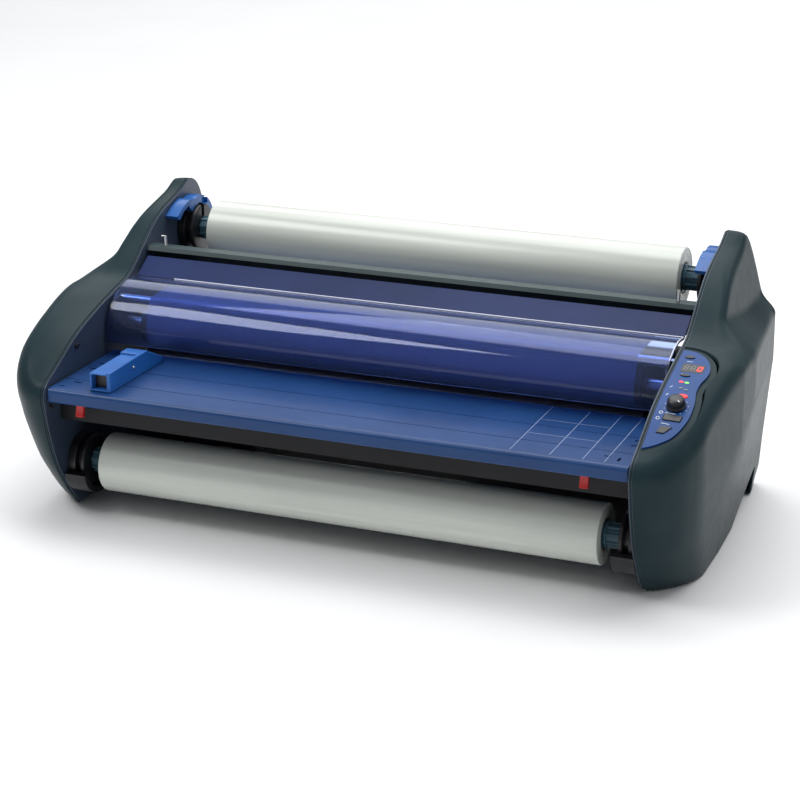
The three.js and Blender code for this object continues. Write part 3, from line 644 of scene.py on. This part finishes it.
def build_walls(side, name):
    """The end frame behind the cover's rim, bored for the roller journals, with screws and a rim bead."""
    outline = outline_inset(0.9, 4)
    plate = prism(name + "_plate", outline, *sorted((side * 392.0, side * 396.7)))
    for axis in JOURNALS:
        bore = [(0, side * 380), (10, side * 380), (10, side * 400), (0, side * 400)]
        carve(plate, turned("bore", bore, axis, 32))
    if side > 0:
        carve(plate, turned("bore", [(0, 380), (7, 380), (7, 400), (0, 400)], MOTOR_AXIS, 32))
    settle(plate, "root", "frame_steel", INNER_WALL, name)
    line = outline_inset(1.3, 3)
    bead = swept(name + "_bead", np.column_stack([np.full(len(line), side * 394.6), line]), 1.5, 8)
    settle(bead, "root", "cover", COVER_PLASTIC, angle=60)
    screws = []
    for y, z in SCREWS:
        profile = [(0, 389.8), (1.5, 389.8), (1.5, 389.2), (2.6, 388.8), (3.6, 389.4), (3.9, 391.8),
                   (0, 391.8)]
        screws.append(turned("screw", [(r, side * x) for r, x in profile], (y, z), 20))
    settle(joined(name + "_screws", screws), "root", "bright_steel", BLACK_PLASTIC)


JOURNALS = [(-31, 220.75), (-31, 163.25), (84, 212), (84, 172)]
MOTOR_AXIS = (44, 113.6)
SCREWS = [(-163, 224), (-249 + 12, 162), (120, 236), (214, 210), (60, 120), (-120, 60)]


# ---- control panel ----
def panel_frame(x, y):
    slope = math.atan2(top_height(y + 4) - top_height(y - 4), 8)
    across = np.array([0, math.cos(slope), math.sin(slope)])
    normal = np.array([0, -math.sin(slope), math.cos(slope)])
    return np.array([x, y, float(top_height(y)) + PANEL_RISE]), across, normal


def on_panel(piece, x, y):
    """Moves a shape built on z = 0 onto the panel's surface."""
    place, across, normal = panel_frame(x, y)
    points = np.array([v.co for v in piece.data.vertices]) / MM
    moved = place + points[:, :1] * [1, 0, 0] + points[:, 1:2] * across + points[:, 2:] * normal
    piece.data.vertices.foreach_set("co", (moved * MM).ravel())
    piece.data.update()
    return piece


def oval(width, depth, count=36):
    turn = np.linspace(0, 2 * math.pi, count, endpoint=False)
    return np.column_stack([width / 2 * np.cos(turn), depth / 2 * np.sin(turn)])


def rounded(points, radius, steps=5):
    """A closed outline with its corners rounded."""
    points = np.asarray(points, float)
    out = []
    for before, corner, after in zip(np.roll(points, 1, 0), points, np.roll(points, -1, 0)):
        a = corner + (before - corner) / np.linalg.norm(before - corner) * radius
        b = corner + (after - corner) / np.linalg.norm(after - corner) * radius
        for t in np.linspace(0, 1, steps):
            out.append((1 - t) ** 2 * a + 2 * t * (1 - t) * corner + t ** 2 * b)
    return np.array(out)


def bar(x0, y0, x1, y1, width):
    """A straight stroke between two points as a closed outline."""
    a, b = np.array([x0, y0]), np.array([x1, y1])
    side = np.array([-(b - a)[1], (b - a)[0]]) / np.linalg.norm(b - a) * width / 2
    return np.array([a - side, b - side, b + side, a + side])


KEYS = {
    "power_button": ("power_key", 410.5, -54, oval(12, 6.4)),
    "mode_button": ("mode_key", 415.5, -94.5, oval(12.4, 4.8)),
    "standby_button": ("standby_key", 423.5, -136, oval(13.2, 7.4)),
    "run_button": ("run_key", 422, -174, rounded([(-11.2, -4.6), (10.4, -5.4), (11.6, 4.0), (-10.4, 5.6)], 1.6)),
    "stop_button": ("stop_key", 416.5, -192, rounded([(-8.2, -5.6), (1.6, -6.0), (9.6, 5.2), (-4.6, 5.8)], 1.6)),
}
KNOB_PLACE = (421.5, -155)
WINDOW = (420.5, -77.5, 28, 19)
SEGMENTS = {"a": (0, 1, 1, 1), "b": (1, 0.5, 1, 1), "c": (1, 0, 1, 0.5), "d": (0, 0, 1, 0), "e": (0, 0, 0, 0.5),
            "f": (0, 0.5, 0, 1), "g": (0, 0.5, 1, 0.5)}

LAMPS = [("red_lamp", 414.4, -108.2, RED_LIT), ("green_lamp", 421.4, -109.0, GREEN_LIT),
         ("spare_lamp_left", 417.4, -120.6, UNLIT), ("spare_lamp_right", 424.2, -123.0, UNLIT)]
KNOB_TICKS = (13.6, 15.2)          # inner and outer radius of the marks around the knob
PRINTED_LINES = [(403.8, -121.5, 406.2, -117.5), (403.2, -137, 405.2, -133), (411, -166.6, 424, -167.6),
                 (411, -182.6, 421, -183.6), (409, -63.2, 416.5, -63.2), (410, -91.6, 414, -91.6)]


def digit(x, y, lit):
    """Seven-segment digit, leaning to the right, as separate strokes."""
    strokes = []
    for x0, y0, x1, y1 in (SEGMENTS[key] for key in lit):
        a = np.array([x0 * 4.6 + y0 * 1.3, y0 * 8.6])
        b = np.array([x1 * 4.6 + y1 * 1.3, y1 * 8.6])
        along = (b - a) / np.linalg.norm(b - a)
        a, b = a + along * 0.45, b - along * 0.45
        strokes.append(on_panel(upright("stroke", bar(*a, *b, 1.15) + (x - 2.9, -4.3), 0.16, 0.34), 0, y))
    return strokes


def build_panel():
    tray = slab("panel_tray", 7.9, 397.2, -1.6, 6.0)
    settle(tray, "root", "cover", COVER_PLASTIC)
    panel = slab("panel_overlay", 0, 398.2, PANEL_RISE, 4.0)
    for body, x, y, outline in KEYS.values():
        carve(panel, on_panel(upright("hole", outline * 1.06, -9, 6), x, y))
        carve(tray, on_panel(upright("hole", outline * 1.06, -14, 6), x, y))
    x, y, width, depth = WINDOW
    frame_box = rounded([(-width / 2, -depth / 2), (width / 2, -depth / 2), (width / 2, depth / 2),
                         (-width / 2, depth / 2)], 1.0)
    carve(panel, on_panel(upright("hole", frame_box, -0.6, 6), x, y))
    for target in (panel, tray):
        carve(target, on_panel(upright("hole", oval(8, 8), -16, 6), *KNOB_PLACE))
    settle(panel, "root", "panel_blue", PANEL_BLUE, "control_panel")
    window = on_panel(upright("window", frame_box * 0.985, -0.5, 0.15), x, y)
    settle(window, "root", "display", DISPLAY_DARK, "display_window")
    dim = digit(x - 8.4, y, "abcdefg") + digit(x + 0.2, y, "abcdefg")
    settle(joined("unlit_digits", dim), "root", "display", UNLIT)
    settle(joined("lit_digit", digit(x + 8.8, y, "abcdef")), "root", "indicator", RED_LIT)
    for node, (body, x, y, outline) in KEYS.items():
        key = on_panel(upright(node + "_cap", outline, -4.5, 1.3), x, y)
        bevel(key, 0.6 * MM, 3, 50)
        look = (RED_SOFT, "indicator") if node == "standby_button" else (BLACK_PLASTIC, "black_plastic")
        settle(key, body, look[1], look[0], node)
    for name, x, y, material in LAMPS:
        lamp = on_panel(upright(name, oval(5.4, 2.6, 20), 0.05, 0.6), x, y)
        settle(lamp, "root", "indicator", material)
    marks = []
    for step in range(9):
        turn = math.radians(-225 + 270 * step / 8)
        ends = [r * part for r in KNOB_TICKS for part in (math.cos(turn), math.sin(turn))]
        line = bar(*ends, 0.7)
        marks.append(on_panel(upright("tick", line, 0.04, 0.16), *KNOB_PLACE))
    for x, y in ((406.2, -167), (404.6, -176)):
        circle = on_panel(turned_up("icon", [(1.7, 0.04), (2.5, 0.04), (2.5, 0.16), (1.7, 0.16)]), x, y)
        marks.append(circle)
    for x, y, x1, y1 in PRINTED_LINES:
        marks.append(on_panel(upright("line", bar(x - x1, 0, 0, y1 - y, 0.9), 0.04, 0.16), x1, y))
    settle(joined("panel_marks", marks), "root", "panel_blue", WHITE_PRINT)


def turned_up(name, profile, segments=32):
    """A closed [radius, z] profile turned about Z."""
    angles = np.linspace(0, 2 * math.pi, segments, endpoint=False)
    points = [(r * math.cos(a), r * math.sin(a), z) for a in angles for r, z in profile]
    count = len(profile)
    faces = grid_faces(segments, count, True)
    for i in range(segments):
        here, there = i * count, (i + 1) % segments * count
        faces.append((here + count - 1, there + count - 1, there, here))
    return clean(new_mesh_object(name, np.array(points) * MM, faces))


def build_knob():
    profile = [(0, -9), (2.9, -9), (2.9, 0.7), (11.5, 0.7), (12, 1.4), (12, 3.0), (11.0, 4.2), (10.4, 9.8),
               (9.8, 11.4), (8.4, 12.6), (5.5, 13.3), (0, 13.5)]
    angles = np.linspace(0, 2 * math.pi, 64, endpoint=False)
    grip = [1 - (0.025 if 4 < z < 11 else 0) * (1 + math.cos(16 * a)) / 2 for a in angles for _, z in profile]
    points = np.array([(r * math.cos(a), r * math.sin(a), z) for a in angles for r, z in profile])
    points[:, :2] *= np.array(grip)[:, None]
    body = clean(new_mesh_object("knob_body", points * MM, grid_faces(64, len(profile), True)))
    settle(on_panel(body, *KNOB_PLACE), "knob", "black_plastic", BLACK_PLASTIC, "speed_knob")
    pointer = on_panel(upright("knob_pointer", bar(3.5, -3.5, 6.3, -6.3, 1.0), 12.9, 13.45), *KNOB_PLACE)
    settle(pointer, "knob", "black_plastic", WHITE_PRINT)


# ---- film, rollers and supply stubs ----
UPPER_ROLL = ((167.5, 307.5), 40.3)
LOWER_ROLL = ((-167.5, 69.5), 39.3)
HEAT_RADIUS = 28.4
UPPER_IDLER = ((-41, 256.5), 6.0)
LOWER_IDLER = ((-96, 145), 7.0)


def build_supply(level, axis, radius):
    body = level + "_supply"
    face = [(21.6, 342.6)]
    for k in range(9):
        r = 22.4 + (radius - 23.6) * k / 8
        face += [(r, 342.9 - 0.35 * (k % 2)), (r + 0.5, 342.9 - 0.35 * ((k + 1) % 2))]
    face += [(radius - 0.5, 342.8), (radius, 342.0)]
    rings = [(r, -x) for r, x in face] + [(radius, x) for x in np.linspace(-330, 330, 12)] + face[::-1]
    settle(turned(level + "_film", rings, axis, 128, ring=True), body, "film", WOUND_FILM,
           level + "_film_roll", angle=25)
    core = [(19.2, -342.2), (21.4, -342.2), (21.4, 342.2), (19.2, 342.2)]
    settle(turned(level + "_core", core, axis, 64, ring=True), body, "film", CORE_CARD)
    for side, name in ((1, "right"), (-1, "left")):
        turn = np.linspace(0, 2 * math.pi, 240, endpoint=False)
        ribs = 14.6 + 1.9 * ease(2.2 * np.cos(9 * turn) - 0.6)
        stub = prism("stub", np.column_stack([axis[0] + ribs * np.cos(turn), axis[1] + ribs * np.sin(turn)]),
                     *sorted((side * 343.6, side * 365.8)))
        plug = turned("plug", [(0, side * 312), (18.2, side * 312), (18.7, side * 313), (18.7, side * 343),
                               (14, side * 343.9), (0, side * 343.9)], axis, 48)
        ring = [(0, side * 345), (17.2, side * 345), (17.2, side * 347.5), (0, side * 347.5)]
        collar = turned("collar", ring, axis)
        shank = [(0, side * 365), (7.8, side * 365), (7.8, side * 387), (0, side * 387)]
        pin = turned("pin", shank, axis, 32)
        settle(joined(f"{level}_{name}_stub", [stub, plug, collar, pin]), body, "chuck_teal", CHUCK_TEAL,
               f"{level}_{name}_chuck")
        build_bracket(level, name, side, axis)


def build_bracket(level, name, side, axis):
    profile = [(8.6, 367.1), (31, 367.1), (33, 367.8), (33.7, 369), (33.7, 372), (32.6, 373.4), (25, 373.8),
               (25, 380.4), (33, 380.8), (33.8, 382), (33.8, 391.5), (8.6, 391.5)]
    hub = turned("hub", [(r, side * x) for r, x in profile], axis, 72, ring=True)
    notch = block("notch", *sorted((side * 366, side * 376)), axis[0] - 4, axis[0] + 4, axis[1] + 16,
                  axis[1] + 36)
    carve(hub, notch)
    settle(hub, "root", "black_plastic", BLACK_PLASTIC, f"{level}_{name}_bracket")
    if level == "upper":
        outer = np.vstack([arc((0, 0), 46, -14, 108, 30),
                           catmull([(-27, 46.5), (-42, 43.2), (-56, 37.4), (-68, 30.6)], 10),
                           [(-65, 25.6), (-60.5, 24.2), (-57, 26.4)],
                           catmull([(-52, 30.5), (-44, 35), (-33, 38.4)], 6),
                           arc((0, 0), 35.2, 128, -14, 30)])
        cap = prism("cap", outer + axis, *sorted((side * 372.6, side * 391.4)))
        window = block("window", *sorted((side * 371, side * 378)), axis[0] + 8, axis[0] + 26,
                       axis[1] + 30, axis[1] + 41.5)
        bevel(carve(cap, window), 1.5 * MM, 3, 40)
        settle(cap, "root", "cap_blue", CAP_BLUE, f"upper_{name}_cap")
    else:
        outer = np.vstack([arc((0, 0), 45.2, -168, -12, 36), arc((0, 0), 35.6, -12, -168, 36)])
        cradle = bevel(prism("cradle", outer + axis, *sorted((side * 361, side * 391.4))), 1.2 * MM, 2, 40)
        settle(cradle, "root", "black_plastic", BLACK_PLASTIC)


def build_rollers():
    for level, z in (("upper", 220.75), ("lower", 163.25)):
        axis = (-31, z)
        profile = [(9.8, -352), (27.2, -352), (HEAT_RADIUS, -350.6)]
        profile += [(HEAT_RADIUS, x) for x in np.linspace(-345, 345, 9)]
        profile += [(HEAT_RADIUS, 350.6), (27.2, 352), (9.8, 352)]
        sleeve = turned(level + "_heat_sleeve", profile, axis, 96, ring=True)
        settle(sleeve, level + "_heat", "silicone", SLEEVE)
        steel_tube(level + "_heat_tube", axis, level + "_heat", level + "_heat_roller", 7.2)
    for level, z in (("upper", 212), ("lower", 172)):
        axis = (84, z)
        profile = [(9.6, -352), (18.8, -352), (19.8, -351), (19.8, 351), (18.8, 352), (9.6, 352)]
        sleeve = turned(level + "_pull_sleeve", profile, axis, 72, ring=True)
        settle(sleeve, level + "_pull", "rubber", RUBBER)
        steel_tube(level + "_pull_shaft", axis, level + "_pull", level + "_pull_roller", 0)
    for name, (axis, radius), body in (("upper_idler", UPPER_IDLER, "upper_idler_bar"),
                                       ("lower_idler", LOWER_IDLER, "lower_idler_bar")):
        profile = [(0, -390), (radius - 0.6, -390), (radius, -389.2), (radius, 389.2),
                   (radius - 0.6, 390), (0, 390)]
        settle(turned(name + "_bar", profile, axis, 40), body, "bright_steel", STEEL, name)


def steel_tube(name, axis, body, node, bore):
    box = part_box(node)
    left, right = box[0].x / MM, box[1].x / MM
    profile = [(8.4, left), (9, left + 0.6), (9, right - 0.6), (8.4, right)]
    if bore:
        profile = [(bore, left)] + profile + [(bore, right)]
    else:
        profile = [(0, left)] + profile + [(0, right)]
    settle(turned(name, profile, axis, 48, ring=bool(bore)), body, "bright_steel", STEEL, node)


def tangent_line(a, ra, b, rb, side):
    """Ends of the straight run that touches two circles on the same side."""
    a, b = np.array(a, float), np.array(b, float)
    gap = b - a
    span = np.linalg.norm(gap)
    lean = math.asin((rb - ra) / span)
    base = math.atan2(gap[1], gap[0]) + side * (math.pi / 2 + lean * 1)
    normal = np.array([math.cos(base), math.sin(base)])
    return a + normal * ra, b + normal * rb, math.degrees(base)


def build_web():
    """The upper film on its way from the supply roll, over the idler and down the heated roller."""
    lift = 0.35
    roll, idler, heat = UPPER_ROLL[0], UPPER_IDLER[0], (-31, 220.75)
    idler_r, heat_r = UPPER_IDLER[1] + lift, HEAT_RADIUS + lift
    # The first run leaves below the roll and lands on top of the idler: it crosses between the two.
    leave, land = math.radians(-98), math.radians(88)
    start = np.array(roll) + (UPPER_ROLL[1] + lift) * np.array([math.cos(leave), math.sin(leave)])
    over = np.array(idler) + idler_r * np.array([math.cos(land), math.sin(land)])
    turn = tangent_line(idler, idler_r, heat, heat_r, -1)[2] % 360
    line = np.vstack([[start], [over], arc(idler, idler_r, 100, turn, 10), arc(heat, heat_r, turn, 262, 40)])
    settle(sheet_strip("film_web", line, 0.16, -342, 342), "root", "film", FILM_WEB, angle=60)


# ---- shield, crossbar, table, guide and levers ----
SHIELD_LINE = [(3, 277), (-22, 279), (-45, 274), (-65, 264), (-79, 251), (-87, 235), (-89, 221), (-88, 207)]


def build_shield():
    curve = catmull(SHIELD_LINE, 60)
    along = np.gradient(curve, axis=0)
    along /= np.linalg.norm(along, axis=1)[:, None]
    inward = np.column_stack([-along[:, 1], along[:, 0]])
    inner = (curve + 2.6 * inward)[::-1]
    sheet = prism("shield_window", np.vstack([curve, inner]), -387.6, 387.6)
    bevel(sheet, 0.5 * MM, 2, 40)
    settle(sheet, "shield", "shield", SHIELD_CLEAR, "nip_shield", angle=30)
    band = prism("shield_band", [(35.6, 297.2), (3.2, 277.4), (4.6, 274.9), (37.0, 294.6)], -387.6, 387.6)
    settle(bevel(band, 0.5 * MM, 2), "shield", "shield", NAVY_PLASTIC)
    # Painted highlight: a pale tube along the shield's top bend and down its right end, standing in for the light
    # the bend catches.
    fold = swept("shield_fold_highlight", [(x, 2.8, 277.6) for x in np.linspace(-330, 386, 12)], 0.9, 8)
    end = [(386.4, y, z + 0.5) for y, z in catmull([(3, 277), (-22, 279), (-45, 274), (-62, 265.6)], 14)]
    corner = swept("shield_corner_highlight", end, 0.8, 8)
    settle(joined("shield_painted_highlight", [fold, corner]), "shield", "shield", PAINTED_HIGHLIGHT, angle=60)
    for side in (1, -1):
        profile = [(0, 383), (21, 383), (22.6, 383.8), (23, 385), (23, 387.2), (0, 387.2)]
        hub = turned("hub", [(r, side * x) for r, x in profile], (-56, 240), 56)
        settle(hub, "shield", "shield", BLACK_PLASTIC)


def build_crossbar():
    line = [(39, 303.5), (42, 309), (60, 309), (82, 259), (236, 248), (236, 245.5), (80, 256.5),
            (57.5, 306.4), (43.6, 306.4), (41.2, 302.6)]
    bar_piece = prism("crossbar", line, -391.4, 391.4)
    carve(bar_piece, block("slot", -346, 346, 68, 96, 259.2, 270.5))
    bevel(bar_piece, 0.6 * MM, 2, 30)
    settle(bar_piece, "root", "deck", DECK_PAINT, "top_crossbar")
    for side in (1, -1):
        pin = turned_up("pin", [(0.01, 0), (2.2, 0), (2.2, 14), (1.4, 15), (0.01, 15)], 20)
        move(pin, side * 366, 49, 309.0)
        bend = [(side * 366, 49, 322), (side * 366, 49, 323.2), (side * 372, 49, 323.4)]
        foot = swept("hook", bend, 1.2, 10)
        settle(joined(f"ledge_pin_{side}", [pin, foot]), "root", "bright_steel", STEEL, angle=50)


def move(piece, x, y, z):
    points = np.array([v.co for v in piece.data.vertices]) + np.array([x, y, z]) * MM
    piece.data.vertices.foreach_set("co", points.ravel())
    piece.data.update()


SLOTS = [(377, -152, 12, 3.4), (377, -170, 12, 3.4), (372, -222, 3.2, 12), (356, -216, 8, 3.0),
         (-372, -128, 12, 3.4), (-376, -150, 12, 3.4), (-366, -208, 12, 3.4), (-378, -228, 8, 3.0)]


def build_table():
    nose = arc((-240, 184), 6, 180, 90, 8)
    seams = [[(y - 0.6, 190), (y - 0.6, 188.7), (y + 0.6, 188.7), (y + 0.6, 190)] for y in (-198.5, -142.4)]
    line = np.vstack([[(-244, 171.2), (-246, 173.2)], nose, *seams,
                      [(-68, 190), (-66.2, 188.4), (-66.2, 186.6), (-68, 186), (-241, 186),
                       (-242.6, 184.4), (-242.6, 171.2)]])
    table = prism("table_top", line, -389.4, 389.4)
    cutters = []
    for x, y, w, d in SLOTS:
        corners = [(x - w / 2, y - d / 2), (x + w / 2, y - d / 2), (x + w / 2, y + d / 2), (x - w / 2, y + d / 2)]
        cutters.append(upright("slot", rounded(corners, min(w, d) / 2.2), 180, 195))
    carve(table, joined("slots", cutters))
    settle(table, "table", "table_blue", TABLE_BLUE, "feed_table", angle=25)
    lines = [block("line", x - 0.45, x + 0.45, -237, -70, 190.02, 190.14) for x in (358, 331, 290, 240)]
    lines += [block("line", 240.45, 330.55, y - 0.4, y + 0.4, 190.02, 190.14) for y in (-120, -172)]
    settle(joined("table_lines", lines), "table", "table_blue", LINE_PRINT)


def build_guide():
    outline = [(-233, 190.5), (-233, 216.6), (-131, 217.8), (-88.2, 197), (-88.2, 190.5)]
    body = prism("guide", outline, -334, -304)
    carve(body, block("front", -331, -309.5, -240, -222, 193, 212.5))
    shelf = block("shelf", -336, -309.5, -234, -150, 214.6, 222)
    carve(body, shelf)
    bevel(body, 1.3 * MM, 3, 35)
    settle(body, "guide", "table_blue", GUIDE_BLUE, "edge_guide")
    # Painted shade: a black plate at the back of the guide's front pocket, standing in for its shadowed hollow
    # inside.
    inside = block("guide_pocket_painted_shade", -330.6, -309.9, -222.6, -221.2, 193.2, 212.2)
    settle(inside, "guide", "black_plastic", BLACK_PLASTIC)
    head = [(0, -302.6), (1.6, -302.6), (2.2, -303.4), (2.2, -304.3), (0, -304.3)]
    screw = turned("guide_screw", head, (-170, 206), 20)
    settle(screw, "guide", "bright_steel", STEEL)


def build_levers():
    for name in ("left", "right"):
        node, body = name + "_latch_lever", name + "_latch"
        low, high = (Vector(c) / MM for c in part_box(node))
        outline = [(low.y + 1, high.z), (high.y, high.z), (high.y, low.z + 14), (high.y - 2.5, low.z),
                   (low.y, low.z + 1.5), (low.y + 3.5, low.z + 14)]
        lever = bevel(prism(name + "_lever", outline, low.x + 1.5, high.x - 1.5), 1.0 * MM, 3, 30)
        settle(lever, body, "lever_red", LEVER_RED, node)


# ---- rear and base ----
def build_rear():
    switch_low, switch_high = (Vector(c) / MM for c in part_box("power_switch"))
    middle = (switch_low.z + switch_high.z) / 2
    y0, y1 = switch_low.y, switch_high.y
    rocker = [(y0, switch_low.z + 0.4), (y1 - 1.0, switch_low.z + 0.4), (y1 - 3.2, middle),
              (y1 - 0.2, switch_high.z - 0.4), (y0, switch_high.z - 0.4)]
    piece = bevel(prism("rocker_cap", rocker, switch_low.x + 0.3, switch_high.x - 0.3), 0.5 * MM, 2, 30)
    settle(piece, "rocker", "black_plastic", BLACK_PLASTIC, "power_switch")


def dress_cad(material, *nodes):
    """Gives CAD nodes that stay in sight a finished material."""
    for node in nodes:
        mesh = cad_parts[node].data
        mesh.materials.clear()
        mesh.materials.append(material)


add_camera()
add_studio()
build_cover("right_side_cover", 1)
build_cover("left_side_cover", -1)
build_walls(1, "right_side_frame")
build_walls(-1, "left_side_frame")
build_panel()
build_knob()
build_supply("upper", *UPPER_ROLL)
build_supply("lower", *LOWER_ROLL)
build_rollers()
build_web()
build_shield()
build_crossbar()
build_table()
build_guide()
build_levers()
build_rear()
dress_cad(STEEL_PAINT, "base_pan", "front_tie_bar", "rear_panel", "exit_tray")
dress_cad(RUBBER, "left_front_foot", "left_rear_foot", "right_front_foot", "right_rear_foot")
dress_cad(BLACK_PLASTIC, "power_inlet", "drive_motor")
dress_cad(STEEL, "upper_heat_gear", "lower_heat_gear", "upper_pull_gear", "lower_pull_gear", "transfer_gear",
          "transfer_axle", "upper_heater_rod", "lower_heater_rod", "power_supply")
dress_cad(BRASS, "motor_pinion")
dress_cad(CHUCK_TEAL, "control_board")
